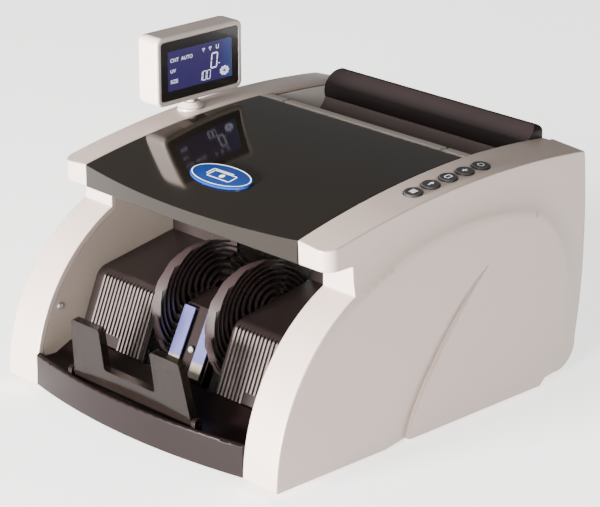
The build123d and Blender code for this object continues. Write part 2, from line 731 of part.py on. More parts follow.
def motor_pulley():
    body = pulley(MOTOR_Y, MOTOR_Z, PULLEY["motor"], TRACK_1)
    return body + x_cylinder(MOTOR_Y, MOTOR_Z, SHAFT_R, -94.6, TRACK_1[0] - 1.5)


def transformer():
    core = block(18, 74, 196, 236, 9, 49)
    coil = block(26, 66, 188, 244, 14, 44)
    legs = block(14, 78, 200, 232, 5.6, 9.4)
    return core + fillet(coil.edges().filter_by(Axis.Z), 8) + legs


def main_board():
    """Control board on the base, with its tall parts."""
    board = block(-60, 60, 112, 182, 12, 13.6)
    chips = ((-40, 130, 22, 22, 4), (0, 150, 30, 14, 3))
    tall_parts = ((38, 128, 12, 12, 18), (44, 164, 18, 22, 12))
    for x, y, w, d, h in chips + tall_parts:
        board += block(x - w / 2, x + w / 2, y - d / 2, y + d / 2, 13.4, 13.6 + h)
    for x in (-54, 54):
        for y in (117, 177):
            board += z_cylinder(x, y, 3, 5.6, 12.2)
    return board


def cross_bars():
    return Compound([x_cylinder(y, z, 4, -POCKET_X + 0.05, POCKET_X - 0.05) for y, z in CROSS_BARS])


def screw_head(radius=2.3, height=1.1):
    """Pan head with a cross recess, standing on Z = 0."""
    head = Cylinder(radius, height, align=(Align.CENTER, Align.CENTER, Align.MIN))
    head = chamfer(head.edges().group_by(Axis.Z)[-1], height * 0.4)
    for turn in (0, 90):
        head -= Pos(0, 0, height) * Rot(0, 0, turn) * Box(radius * 1.1, radius * 0.3, height)
    return head


def screws():
    """Screws of the inner side plates, the guides' pillar and the back cover."""
    heads = []
    for side in (-1, 1):
        for y, z in ((20.8, 49.3), (110, 112)):
            heads.append(Pos(side * (POCKET_X - 0.02), y, z) * Rot(0, -90 * side, 0) * screw_head())
        heads.append(Pos(side * 90, 275.2, 118) * Rot(-90, 0, 0) * screw_head())
        heads.append(Pos(side * 90, 270.8, 30) * Rot(-90, 0, 0) * screw_head())
    heads.append(Pos(0, 46.6, 40.6) * Rot(64, 0, 0) * screw_head(2.2, 1.2))
    return Compound(heads)


# ---- buttons and display -------------------------------------------------------------------
def button(y):
    """Round key with a bevelled cap, a retaining collar and a short stem."""
    cap = Pos(0, 0, -1.9) * Cylinder(BUTTON_R, 6.0)
    cap = chamfer(cap.edges().group_by(Axis.Z)[-1], 0.5)
    collar = Pos(0, 0, -4.4) * Cylinder(BUTTON_R + 0.9, 1.0)
    stem = Pos(0, 0, -6.9) * Cylinder(2.0, 4.2)
    return button_frame(y) * (cap + collar + stem)


def key_board():
    board = block(101.6, 118.6, 119, 202, 135.4, 137)
    for y in BUTTON_YS:
        board += block(BUTTON_X - 3, BUTTON_X + 3, y - 3, y + 3, 136.9, 139)
    return board


def display_stalk():
    """Swivel post through the left shell with a tilt knuckle on top."""
    top = shell_top(MAST_X, MAST_Y)
    post = z_cylinder(MAST_X, MAST_Y, 5, top - 9, top + 2.2)
    skirt = Cone(8.8, 6.2, 158.3 - top - 1.9, align=(Align.CENTER, Align.CENTER, Align.MIN))
    post += Pos(MAST_X, MAST_Y, top + 1.9) * skirt
    post += z_cylinder(MAST_X, MAST_Y, 3.8, 158, TILT_Z)
    post += y_cylinder(MAST_X, TILT_Z, 4.2, MAST_Y - 7, MAST_Y + 7)
    post += y_cylinder(MAST_X, TILT_Z, 2, MAST_Y - 10, MAST_Y + 10)
    post += z_cylinder(MAST_X, MAST_Y, 7, top - 9, top - 6)
    return post


def head_outline(inset=0.0, corner=5.0):
    shape = RectangleRounded(HEAD_W - 2 * inset, HEAD_Z1 - HEAD_Z0 - 2 * inset, corner)
    return Pos(MAST_Y, (HEAD_Z0 + HEAD_Z1) / 2) * shape


HEAD_X0, HEAD_X1 = MAST_X - HEAD_D / 2, MAST_X + HEAD_D / 2
SEAM_X = HEAD_X0 + 4.6


def display_case_front():
    """Front moulding of the display: a deep frame with a recess for the panel."""
    case = yz_prism(head_outline(), SEAM_X, HEAD_X1)
    edges = case.faces().sort_by(Axis.X)[-1].outer_wire().edges()
    case = fillet(edges, 1.8)
    case -= yz_prism(head_outline(3.4, 2.4), HEAD_X1 - 1.6, HEAD_X1 + 1)
    case -= block(SEAM_X - 1, HEAD_X1 - 3.4, MAST_Y - 35, MAST_Y + 35, 177, HEAD_Z1 - 2)
    case -= block(HEAD_X1 - 6, HEAD_X1 + 1, MAST_Y - 29, MAST_Y + 29, 179, HEAD_Z1 - 5)
    pocket = block(MAST_X - 8, MAST_X + 8, MAST_Y - 7.6, MAST_Y + 7.6, HEAD_Z0 - 1, TILT_Z + 5)
    case -= pocket
    case -= y_cylinder(MAST_X, TILT_Z, 2 + SHAFT_FIT, MAST_Y - 10.6, MAST_Y + 10.6)
    return case


def display_case_back():
    case = yz_prism(head_outline(0.5, 4.6), HEAD_X0, SEAM_X - 0.3)
    edges = case.faces().sort_by(Axis.X)[0].outer_wire().edges()
    case = fillet(edges, 2.2)
    case -= block(HEAD_X0 + 2, SEAM_X, MAST_Y - 34, MAST_Y + 34, 178, HEAD_Z1 - 3)
    case -= block(MAST_X - 8, SEAM_X, MAST_Y - 7.6, MAST_Y + 7.6, HEAD_Z0 - 1, TILT_Z + 5)
    return case


def display_panel():
    """Black surround of the screen, with its window."""
    panel = yz_prism(head_outline(3.6, 2.2), HEAD_X1 - 1.5, HEAD_X1 - 0.2)
    return panel - block(HEAD_X1 - 3, HEAD_X1 + 1, MAST_Y - 28, MAST_Y + 28, 171.6, 198.6)


def display_lcd():
    return block(HEAD_X1 - 1.5, HEAD_X1 - 0.7, MAST_Y - 27.9, MAST_Y + 27.9, 171.7, 198.5)


# ---- write every node ----------------------------------------------------------------------
def build():
    os.makedirs("parts", exist_ok=True)
    frame_right = side_frame()
    guide_right = guide()
    save("shell_right", shell_right())
    save("shell_left", shell_left())
    save("side_frame_right", frame_right)
    save("side_frame_left", mirror(frame_right, about=Plane.YZ))
    save("base_plate", base_plate())
    save("feet", feet())
    save("front_tray", front_tray())
    save("stop_plate", stop_plate())
    save("rear_cover", rear_cover())
    save("mains_inlet", mains_inlet())
    save("switch_frame", switch_frame())
    save("switch_rocker", switch_rocker())
    save("gap_knob", gap_knob())
    save("lid", lid())
    save("lid_hinge_pins", lid_hinge_pins())
    save("badge", badge())
    cheek_right = hopper_cheek()
    save("hopper_bed", hopper_bed())
    save("hopper_cheeks", Compound([cheek_right, mirror(cheek_right, about=Plane.YZ)]))
    save("hopper_bar", hopper_bar())
    save("feed_gate", feed_gate())
    save("separator_block", separator_block())
    save("guide_right", guide_right)
    save("guide_left", mirror(guide_right, about=Plane.YZ))
    save("guide_centre", guide_centre())
    save("leaf_strips", leaf_strips())
    save("exit_guide", exit_guide())
    save("impeller_left", wheel(-WHEEL_X))
    save("impeller_right", wheel(WHEEL_X))
    save("impeller_shaft", shaft(WHEEL_Y, WHEEL_Z, -104, RIGHT_END))
    save("impeller_pulley", pulley(WHEEL_Y, WHEEL_Z, PULLEY["wheel"], TRACK_R))
    save("transport_shaft", shaft(CARRY_Y, CARRY_Z, LEFT_END, RIGHT_END))
    save("transport_rollers", roller_row(CARRY_Y, CARRY_Z, CARRY_R, (-60, -25, 25, 60), 14))
    carry_pulleys = [
        pulley(CARRY_Y, CARRY_Z, PULLEY["carry"], TRACK_2),
        pulley(CARRY_Y, CARRY_Z, PULLEY["carry"], TRACK_R),
    ]
    save("transport_pulleys", Compound(carry_pulleys))
    save("feed_shaft", shaft(FEED_Y, FEED_Z, LEFT_END, RIGHT_END))
    save("feed_rollers", roller_row(FEED_Y, FEED_Z, FEED_R, (-46, 0, 46), 24))
    feed_pulleys = [pulley(FEED_Y, FEED_Z, PULLEY["feed"], track) for track in (TRACK_1, TRACK_2, TRACK_R)]
    save("feed_pulleys", Compound(feed_pulleys))
    save("pickup_shaft", shaft(PICK_Y, PICK_Z, -104, RIGHT_END))
    save("pickup_rollers", roller_row(PICK_Y, PICK_Z, PICK_R, (-29, 29), 18))
    save("pickup_pulley", pulley(PICK_Y, PICK_Z, PULLEY["pick"], TRACK_R))
    save("pinch_shaft", x_cylinder(PINCH_Y, PINCH_Z, 2, -101.5, 101.5))
    pinch = [
        x_cylinder(PINCH_Y, PINCH_Z, PINCH_R, x - 6, x + 6) - x_cylinder(PINCH_Y, PINCH_Z, 2, x - 9, x + 9)
        for x in (-60, -25, 25, 60)
    ]
    save("pinch_rollers", Compound(pinch))
    save("shaft_bearings", shaft_bearings())
    save("drive_belts", drive_belts())
    save("motor", motor())
    save("motor_pulley", motor_pulley())
    save("transformer", transformer())
    save("main_board", main_board())
    save("cross_bars", cross_bars())
    save("screws", screws())
    for number, y in enumerate(BUTTON_YS, 1):
        save(f"button_{number}", button(y))
    save("key_board", key_board())
    save("display_stalk", display_stalk())
    save("display_case_front", display_case_front())
    save("display_case_back", display_case_back())
    save("display_panel", display_panel())
    save("display_lcd", display_lcd())


build()
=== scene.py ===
# %% [markdown]
# # A banknote counting machine
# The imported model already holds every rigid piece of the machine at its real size. This
# lesson dresses it: each step says what a piece or a finish is on the real machine, how it
# could be made in Blender, and why one way was chosen. Loading comes first, because every
# later position is read from the model.

# %% Load the model
from math import cos, pi, radians, sin

import bmesh
import bpy
from mathutils import Matrix, Vector


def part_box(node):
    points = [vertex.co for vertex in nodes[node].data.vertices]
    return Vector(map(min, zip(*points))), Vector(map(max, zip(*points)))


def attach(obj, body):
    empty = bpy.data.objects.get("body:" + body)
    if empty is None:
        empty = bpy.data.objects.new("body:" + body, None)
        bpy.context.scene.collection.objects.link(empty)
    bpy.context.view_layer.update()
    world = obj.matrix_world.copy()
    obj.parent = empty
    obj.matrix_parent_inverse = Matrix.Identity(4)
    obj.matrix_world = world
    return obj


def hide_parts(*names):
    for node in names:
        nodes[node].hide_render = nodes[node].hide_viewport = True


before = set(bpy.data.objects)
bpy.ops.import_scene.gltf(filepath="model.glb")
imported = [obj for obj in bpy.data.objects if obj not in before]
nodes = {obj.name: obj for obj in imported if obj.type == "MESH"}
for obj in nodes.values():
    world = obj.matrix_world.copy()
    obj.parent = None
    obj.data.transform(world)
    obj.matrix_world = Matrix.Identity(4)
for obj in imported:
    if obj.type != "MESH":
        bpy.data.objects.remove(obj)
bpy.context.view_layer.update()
MM = 0.001

# %% [markdown]
# ## Writing shaders as sums
# Node trees read badly as long lists of links. A small class wraps one socket, so that
# `0.3 + grain * 0.05` adds its own Math nodes, and one method, `node`, makes any other
# node from its type, its settings and its inputs. Every finish below is a few lines of it.


# %% A wrapped socket
class Value:
    """One output socket that can be used in sums."""

    def __init__(self, net, socket):
        self.net, self.socket = net, socket

    def math(self, operation, *others, swap=False):
        terms = (others[0], self) if swap else (self, *others)
        return self.net.node("ShaderNodeMath", {"operation": operation}, dict(enumerate(terms)))

    def __add__(self, other):
        return self.math("ADD", other)

    def __sub__(self, other):
        return self.math("SUBTRACT", other)

    def __rsub__(self, other):
        return self.math("SUBTRACT", other, swap=True)

    def __mul__(self, other):
        return self.math("MULTIPLY", other)

    def __gt__(self, other):
        return self.math("GREATER_THAN", other)

    def __lt__(self, other):
        return self.math("LESS_THAN", other)

    __radd__, __rmul__ = __add__, __mul__


# %% A finish and its node tree
class Finish:
    """A material whose Principled BSDF is fed by expressions."""

    def __init__(self, name):
        self.material = bpy.data.materials.new(name)
        self.material.use_nodes = True
        self.tree = self.material.node_tree
        self.shader = self.tree.nodes["Principled BSDF"]

    def node(self, kind, settings, inputs, output=0):
        made = self.tree.nodes.new(kind)
        stops = settings.pop("stops", None)
        for key, value in settings.items():
            setattr(made, key, value)
        for position, colour in stops or ():
            ramp = made.color_ramp.elements
            stop = {0.0: ramp[0], 1.0: ramp[-1]}.get(position) or ramp.new(position)
            stop.color = colour
        for key, value in inputs.items():
            self.feed(made.inputs[key], value)
        return Value(self, made.outputs[output])

    def feed(self, socket, value):
        if isinstance(value, Value):
            self.tree.links.new(value.socket, socket)
        else:
            socket.default_value = value

    def place(self, scale=(1, 1, 1)):
        coordinates = self.node("ShaderNodeTexCoord", {}, {}, "Object")
        return self.node("ShaderNodeMapping", {}, {"Vector": coordinates, "Scale": scale})

    def noise(self, scale, detail, stretch=(1, 1, 1)):
        inputs = {"Vector": self.place(stretch), "Scale": scale, "Detail": detail}
        return self.node("ShaderNodeTexNoise", {}, inputs, "Fac")

    def axis(self, letter):
        return self.node("ShaderNodeSeparateXYZ", {}, {"Vector": self.place()}, letter)

    def mix(self, factor, first, second):
        made = self.tree.nodes.new("ShaderNodeMix")
        made.data_type = "RGBA"
        for name, value in (("Factor_Float", factor), ("A_Color", first), ("B_Color", second)):
            socket = next(s for s in made.inputs if s.identifier == name)
            self.feed(socket, value)
        return Value(self, next(s for s in made.outputs if s.identifier == "Result_Color"))

    def bump(self, height, strength, distance, edge=0.0):
        inputs = {"Height": height, "Strength": strength, "Distance": distance}
        if edge:
            inputs["Normal"] = self.node("ShaderNodeBevel", {"samples": 6}, {"Radius": edge})
        return self.node("ShaderNodeBump", {}, inputs, "Normal")

    def surface(self, **inputs):
        for name, value in inputs.items():
            self.feed(self.shader.inputs[name.replace("_", " ")], value)
        return self.material


def rgb(red, green, blue):
    return (red, green, blue, 1.0)


def darker(colour, by):
    return rgb(*(channel * by for channel in colour[:3]))


print("shader helpers ready")

# %% [markdown]
# ## Finishes
# The machine has three families of finish. The shells and the display are sprayed with a
# pearl silver-white paint: a faint flake, a soft orange-peel and a clear coat over it. The
# lid, tray, guides and wheels are moulded in brown-black plastic with a high gloss, so all
# their life comes from small changes of roughness. What sits inside is plated steel,
# rubber and plain mouldings. Each family is one function with a few numbers.


# %% Painted shells
def pearl_paint(name, colour, edge=1.6 * MM, gloss=0.36):
    paint = Finish(name)
    tone = paint.noise(14, 3)
    grid = {"Vector": paint.place(), "Scale": 2600.0}
    flake = paint.node("ShaderNodeTexVoronoi", {}, grid, "Distance")
    peel = paint.noise(900, 1)
    shade = paint.mix(tone * 0.5 + flake * 0.25, colour, darker(colour, 0.93))
    return paint.surface(
        Base_Color=shade,
        Metallic=0.12,
        Roughness=gloss + tone * 0.05 + flake * 0.05,
        Coat_Weight=0.35,
        Coat_Roughness=0.16,
        Normal=paint.bump(peel, 0.06, 0.0004, edge),
    )


# %% Glossy and satin mouldings
def moulding(name, colour, rough, grain=0.0, coat=0.0, edge=0.0, shine=0.5, grain_scale=1400,
             spread=0.06):
    plastic = Finish(name)
    smear = plastic.noise(22, 4, (1, 1, 0.4))
    fine = plastic.noise(grain_scale, 2)
    shade = plastic.mix(smear * 0.6, colour, darker(colour, 1.35))
    height = fine * grain + plastic.noise(160, 1) * 0.15
    return plastic.surface(
        Base_Color=shade,
        Roughness=rough + smear * spread + fine * grain * 0.1,
        Specular_IOR_Level=shine,
        Coat_Weight=coat,
        Coat_Roughness=0.06,
        Normal=plastic.bump(height, 0.12, 0.0003, edge),
    )


# %% Metals and rubber
def metal(name, colour, rough, brushed=(1, 1, 1), metallic=1.0):
    plate = Finish(name)
    lines = plate.noise(260, 4, brushed)
    blotch = plate.noise(40, 3)
    return plate.surface(
        Base_Color=plate.mix(blotch, colour, darker(colour, 0.86)),
        Metallic=metallic,
        Roughness=rough + lines * 0.14,
        Normal=plate.bump(lines, 0.08, 0.0002),
    )


def rubber(name, colour):
    skin = Finish(name)
    dust = skin.noise(180, 4)
    return skin.surface(
        Base_Color=skin.mix(dust, colour, darker(colour, 1.8)),
        Roughness=0.72 + dust * 0.2,
        Normal=skin.bump(skin.noise(1500, 2), 0.25, 0.0003),
    )


# %% The palette
shell_paint = pearl_paint("pearl shell paint", rgb(0.38, 0.303, 0.268))
display_paint = pearl_paint("pearl display paint", rgb(0.45, 0.38, 0.345), 0.8 * MM)
lid_black = rgb(0.006, 0.0046, 0.0034)
lid_gloss = moulding("piano black lid", lid_black, 0.06, edge=0.6 * MM, shine=0.24, spread=0.05)
dark_gloss = moulding("brown-black moulding", rgb(0.007, 0.0046, 0.0044), 0.24, shine=0.3)
tray_gloss = moulding("brown-black tray", rgb(0.004, 0.0022, 0.0022), 0.28, edge=0.5 * MM, shine=0.12)
bed_satin = moulding("grey-brown hopper bed", rgb(0.050, 0.038, 0.035), 0.45, grain=0.6, shine=0.3)
bar_satin = moulding("brown-black hopper", rgb(0.007, 0.0046, 0.0046), 0.42, grain=0.5, shine=0.25)
strip_satin = moulding("grey-brown strip", rgb(0.17, 0.15, 0.13), 0.48, grain=0.5)
frame_satin = moulding("olive-grey side plate", rgb(0.22, 0.182, 0.155), 0.42, grain=0.3)
cheek_satin = moulding("warm grey cheek", rgb(0.36, 0.34, 0.31), 0.45, grain=0.3)
cover_satin = moulding("warm grey back", rgb(0.52, 0.50, 0.475), 0.55, grain=0.8, grain_scale=900)
black_satin = moulding("black fitting", rgb(0.02, 0.02, 0.02), 0.42, grain=0.6)
wheel_gloss = moulding("flexible black wheel", rgb(0.013, 0.0085, 0.0085), 0.27, shine=0.55)
nylon = moulding("natural acetal", rgb(0.72, 0.70, 0.62), 0.4, grain=0.2)
red_gloss = moulding("red rocker", rgb(0.45, 0.015, 0.01), 0.25, coat=0.4)
board_green = moulding("board lacquer", rgb(0.02, 0.13, 0.05), 0.35)
bezel_gloss = moulding("black display surround", rgb(0.010, 0.009, 0.009), 0.22, coat=0.3)
badge_blue = moulding("blue badge resin", rgb(0.004, 0.022, 0.115), 0.12, shine=0.3)
key_black = moulding("black key", rgb(0.018, 0.017, 0.018), 0.34, grain=0.3)
stalk_satin = moulding("pale stalk", rgb(0.36, 0.30, 0.275), 0.40, grain=0.2)
steel = metal("ground steel", rgb(0.60, 0.59, 0.57), 0.24, (1, 20, 20))
sheet_steel = metal("zinc-plated sheet", rgb(0.55, 0.56, 0.55), 0.38)
bronze = metal("sintered bronze", rgb(0.50, 0.33, 0.15), 0.4)
dark_steel = metal("varnished core", rgb(0.09, 0.07, 0.05), 0.5, metallic=0.6)
screw_steel = metal("plated screw", rgb(0.62, 0.61, 0.59), 0.25)
roller_rubber = rubber("roller rubber", rgb(0.06, 0.06, 0.06))
black_rubber = rubber("black rubber", rgb(0.018, 0.018, 0.018))
print(len(bpy.data.materials), "finishes")

# %% [markdown]
# ## Four special finishes
# The stop plate is smoke-tinted and lets a little light through, so its alpha follows a
# faint haze. The guides are near black, and the crests of their ribs carry a painted
# highlight, a lighter grey that stands in for the bright lines where they catch the light,
# and are a little smoother: a crest is found by how far it stands in front of the guide's
# leaning face. The spring leaves are polished and have a lavender cast. The screen is lit
# from behind, and its blue pales to the right. The other way would be a separate piece for
# each crest, but a mask on the one moulding keeps the ribs and the guide in one piece, as
# they really are.


# %% Smoke-tinted plastic
def smoke_plastic():
    smoke = Finish("smoke-tinted plastic")
    haze = smoke.noise(30, 3)
    return smoke.surface(
        Base_Color=smoke.mix(haze, rgb(0.004, 0.0026, 0.0022), rgb(0.007, 0.005, 0.0044)),
        Roughness=0.12 + haze * 0.08,
        Alpha=0.72 + haze * 0.1,
        Specular_IOR_Level=0.15,
    )


# %% Rib crests
FACE_FOOT, FACE_HEAD = (-0.0996, 0.0250), (-0.0806, 0.0715)     # Y and Z of the guides' face
CREST_PROUD = 0.9 * MM                                          # crests stand further out than this


def ribbed_moulding():
    """The guides: near black, with a painted highlight of lighter grey on the rib crests."""
    guide = Finish("ribbed guide moulding")
    lean = (FACE_HEAD[0] - FACE_FOOT[0]) / (FACE_HEAD[1] - FACE_FOOT[1])
    proud = guide.axis("Z") * lean - guide.axis("Y") + (FACE_FOOT[0] - FACE_FOOT[1] * lean)
    crest = (proud > CREST_PROUD) * (guide.axis("Z") < FACE_HEAD[1] + 1.0 * MM)
    # painted highlight: the crests are mixed towards a lighter grey where they would catch the light
    crest_highlight = crest * (0.35 + guide.noise(240, 3, (1, 0.15, 0.15)) * 0.9)
    smear = guide.noise(22, 4, (1, 1, 0.4))
    body = guide.mix(smear, rgb(0.006, 0.0040, 0.0038), rgb(0.010, 0.0070, 0.0066))
    return guide.surface(
        Base_Color=guide.mix(crest_highlight, body, rgb(0.085, 0.068, 0.064)),
        Roughness=0.26 + smear * 0.08 - crest * 0.06,
        Specular_IOR_Level=0.3,
        Normal=guide.bump(guide.noise(160, 1), 0.1, 0.0003),
    )


# %% Spring leaf and screen
FOOT_END = 0.040            # below this height a leaf is bare


def spring_leaf():
    leaf = Finish("polished spring leaf")
    height = leaf.axis("Z")
    foot = height < FOOT_END
    tint = leaf.mix(foot, rgb(0.075, 0.075, 0.19), rgb(0.17, 0.15, 0.12))
    return leaf.surface(Base_Color=tint, Metallic=0.6, Roughness=0.3 + leaf.noise(300, 2) * 0.1)


def lit_screen():
    screen = Finish("lit blue screen")
    across = screen.axis("Y")
    low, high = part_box("display_lcd")
    position = (across - low[1]) * (1 / (high[1] - low[1]))
    indigo, middle, pale = rgb(0.034, 0.020, 0.105), rgb(0.034, 0.021, 0.11), rgb(0.04, 0.07, 0.24)
    stops = [(0.0, indigo), (0.8, middle), (1.0, pale)]
    ramp = screen.node("ShaderNodeValToRGB", {"stops": stops}, {"Fac": position}, "Color")
    return screen.surface(
        Base_Color=rgb(0.01, 0.01, 0.03), Roughness=0.25, Emission_Color=ramp, Emission_Strength=1.0
    )


smoke, leaf_polish = smoke_plastic(), spring_leaf()
screen_glow, rib_finish = lit_screen(), ribbed_moulding()
print("special finishes made")

# %% [markdown]
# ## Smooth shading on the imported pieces
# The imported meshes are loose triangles, so each would shade like cut glass. Their own points
# must not change, but a modifier may act on top. A tiny Geometry Nodes tree welds the
# points, then marks as sharp only the edges that turn by more than a set angle, and a
# Weighted Normal modifier keeps the flat faces flat beside their fillets. On the larger
# mouldings the flats are first joined into single faces, so that a Bevel modifier can round
# their edges a little, as every moulded edge is.


# %% The welding tree
CREASE = radians(32)        # edges that turn by more than this stay sharp


def weld_tree():
    tree = bpy.data.node_groups.new("weld and smooth", "GeometryNodeTree")
    sockets = tree.interface
    sockets.new_socket("Geometry", in_out="INPUT", socket_type="NodeSocketGeometry")
    for name, value in (("Distance", 0.01 * MM), ("Angle", CREASE)):
        socket = sockets.new_socket(name, in_out="INPUT", socket_type="NodeSocketFloat")
        socket.default_value = value
    sockets.new_socket("Geometry", in_out="OUTPUT", socket_type="NodeSocketGeometry")
    kinds = ("NodeGroupInput", "GeometryNodeMergeByDistance", "GeometryNodeInputMeshEdgeAngle",
             "FunctionNodeCompare", "GeometryNodeSetShadeSmooth", "GeometryNodeSetShadeSmooth",
             "NodeGroupOutput")
    start, weld, angle, sharp, faces, edges, end = (tree.nodes.new(kind) for kind in kinds)
    sharp.operation = "LESS_EQUAL"
    faces.domain, edges.domain = "FACE", "EDGE"
    link = tree.links.new
    link(start.outputs["Geometry"], weld.inputs["Geometry"])
    link(start.outputs["Distance"], weld.inputs["Distance"])
    link(angle.outputs["Unsigned Angle"], sharp.inputs[0])
    link(start.outputs["Angle"], sharp.inputs[1])
    link(weld.outputs[0], faces.inputs["Geometry"])
    link(faces.outputs[0], edges.inputs["Geometry"])
    link(sharp.outputs[0], edges.inputs["Shade Smooth"])
    link(edges.outputs[0], end.inputs[0])
    return tree


weld = weld_tree()


# %% Soft shading and rounded edges
def soften(thing, round_edges=0.0):
    thing.modifiers.new("weld", "NODES").node_group = weld
    if round_edges:
        flat = thing.modifiers.new("one face per flat", "DECIMATE")
        flat.decimate_type, flat.angle_limit = "DISSOLVE", radians(0.25)
        edges = thing.modifiers.new("rounded edges", "BEVEL")
        edges.limit_method, edges.angle_limit = "ANGLE", CREASE
        edges.width, edges.segments = round_edges, 3
        thing.modifiers.new("smooth", "NODES").node_group = weld
    normals = thing.modifiers.new("flat faces", "WEIGHTED_NORMAL")
    normals.keep_sharp = True


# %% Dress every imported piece
DRESS = {
    shell_paint: ("shell_left", "shell_right"),
    frame_satin: ("side_frame_left", "side_frame_right"),
    sheet_steel: ("base_plate", "motor"),
    black_rubber: ("feet", "drive_belts", "separator_block"),
    tray_gloss: ("front_tray",),
    smoke: ("stop_plate",),
    cover_satin: ("rear_cover",),
    black_satin: ("mains_inlet", "switch_frame", "gap_knob"),
    red_gloss: ("switch_rocker",),
    lid_gloss: ("lid",),
    badge_blue: ("badge",),
    bar_satin: ("hopper_bar",),
    bed_satin: ("hopper_bed",),
    cheek_satin: ("hopper_cheeks",),
    strip_satin: ("feed_gate",),
    dark_gloss: ("guide_centre", "exit_guide"),
    rib_finish: ("guide_left", "guide_right"),
    leaf_polish: ("leaf_strips",),
    wheel_gloss: ("impeller_left", "impeller_right"),
    nylon: ("impeller_pulley", "transport_pulleys", "feed_pulleys", "pickup_pulley", "motor_pulley",
            "pinch_rollers"),
    steel: ("impeller_shaft", "transport_shaft", "feed_shaft", "pickup_shaft", "pinch_shaft",
            "lid_hinge_pins", "cross_bars"),
    roller_rubber: ("transport_rollers", "feed_rollers", "pickup_rollers"),
    bronze: ("shaft_bearings",),
    dark_steel: ("transformer",),
    board_green: ("main_board", "key_board"),
    screw_steel: ("screws",),
    key_black: tuple(f"button_{number}" for number in range(1, 6)),
    stalk_satin: ("display_stalk",),
    display_paint: ("display_case_front", "display_case_back"),
    bezel_gloss: ("display_panel",),
    screen_glow: ("display_lcd",),
}
EDGE_RADII = {                  # millimetres
    1.6: ("shell_left", "shell_right"),
    0.7: ("lid",),
    0.5: ("front_tray", "feed_gate", "switch_rocker"),
    0.45: ("stop_plate",),
    0.4: ("guide_centre", "exit_guide", "hopper_bed", "hopper_cheeks", "rear_cover", "mains_inlet",
          "switch_frame"),
    0.3: ("side_frame_left", "side_frame_right", "guide_left", "guide_right", "display_case_front"),
    0.25: ("display_panel",),
    0.08: ("leaf_strips",),
}
rounded = {name: radius for radius, names in EDGE_RADII.items() for name in names}
for finish, names in DRESS.items():
    for name in names:
        nodes[name].data.materials.clear()
        nodes[name].data.materials.append(finish)
        soften(nodes[name], rounded.get(name, 0) * MM)
undressed = sorted(set(nodes) - {name for names in DRESS.values() for name in names})
print("undressed pieces:", undressed)

# %% [markdown]
# ## Marks on the screen
# The screen shows a count and a preset in digits made of bars, a ring of petals, a few
# small signs and three rows of mode names. They could be painted on the screen by its
# material, but thin faces a hair in front of it stay sharp from near by. One function
# draws a bar, the others draw with bars, and the last lays the faces on a wall that faces
# the display's front. Positions are in millimetres from the screen's lower left corner.


# %% Flat figures on a wall
BARS = {"0": "abcdef", "1": "bc"}
ENDS = {"a": ((0, 2), (1, 2)), "b": ((1, 1), (1, 2)), "c": ((1, 0), (1, 1)), "d": ((0, 0), (1, 0)),
        "e": ((0, 0), (0, 1)), "f": ((0, 1), (0, 2))}
SLANT = 0.12                # a digit leans by this share of its height


def bar(start, end, width):
    """A bar between two points with pointed ends, as a six-sided face."""
    (x0, y0), (x1, y1) = start, end
    length = ((x1 - x0) ** 2 + (y1 - y0) ** 2) ** 0.5
    dx, dy = (x1 - x0) / length, (y1 - y0) / length
    half = width / 2
    along = ((0.15 * width, 0), (0.5 * width, half), (length - 0.5 * width, half),
             (length - 0.15 * width, 0), (length - 0.5 * width, -half), (0.5 * width, -half))
    return [(x0 + dx * u - dy * v, y0 + dy * u + dx * v) for u, v in along]


def digits(text, corner, size, width):
    """Seven-bar digits: size is a digit's width and half its height."""
    faces = []
    for place, letter in enumerate(text):
        left = corner[0] + place * (size[0] + width * 2.2)
        for name in BARS[letter]:
            ends = []
            for u, v in ENDS[name]:
                ends.append((left + u * size[0] + v * size[1] * SLANT, corner[1] + v * size[1]))
            faces.append(bar(*ends, width))
    return faces


def flat_mesh(name, faces, matrix, finish):
    """Flat faces drawn in (u, v), placed in space by a matrix, as one object."""
    points, loops = [], []
    for face in faces:
        loops.append(range(len(points), len(points) + len(face)))
        points += [matrix @ Vector((u, v, 0)) for u, v in face]
    mesh = bpy.data.meshes.new(name)
    mesh.from_pydata(points, [], [list(loop) for loop in loops])
    mesh.materials.append(finish)
    thing = bpy.data.objects.new(name, mesh)
    bpy.context.scene.collection.objects.link(thing)
    print(name, len(loops), "faces")
    return thing


# %% A glowing finish
def glow(name, colour, strength):
    lit = Finish(name)
    ripple = lit.noise(900, 1)
    shade = lit.mix(ripple, colour, darker(colour, 0.9))
    return lit.surface(
        Base_Color=darker(colour, 0.3), Roughness=0.4, Emission_Color=shade, Emission_Strength=strength
    )


# %% Petals and small signs
def petals(centre, count=9):
    """A ring of kite-shaped petals."""
    faces = []
    for turn in (2 * pi * step / count for step in range(count)):
        kite = ((0.7, turn), (3.7, turn - 0.28), (4.3, turn), (3.7, turn + 0.28))
        faces.append([(centre[0] + r * cos(a), centre[1] + 0.78 * r * sin(a)) for r, a in kite])
    return faces


def pin_sign(u, top=23.4):
    """A small sign: a flat top on a short stem."""
    lines = [((u - 1.1, top), (u + 1.1, top)), ((u, top - 2.4), (u, top - 1.0)),
             ((u - 1.1, top), (u - 0.5, top - 1.2)), ((u + 1.1, top), (u + 0.5, top - 1.2))]
    return [bar(*line, 0.4) for line in lines]


def cup_sign(left, right, top, foot):
    """A small open cup."""
    lines = [((left, top), (left, foot)), ((left, foot), (right, foot)), ((right, foot), (right, top))]
    return [bar(*line, 0.45) for line in lines]


# %% The count, its preset and the signs
STAND_OFF = 0.12 * MM       # the marks' distance from the screen


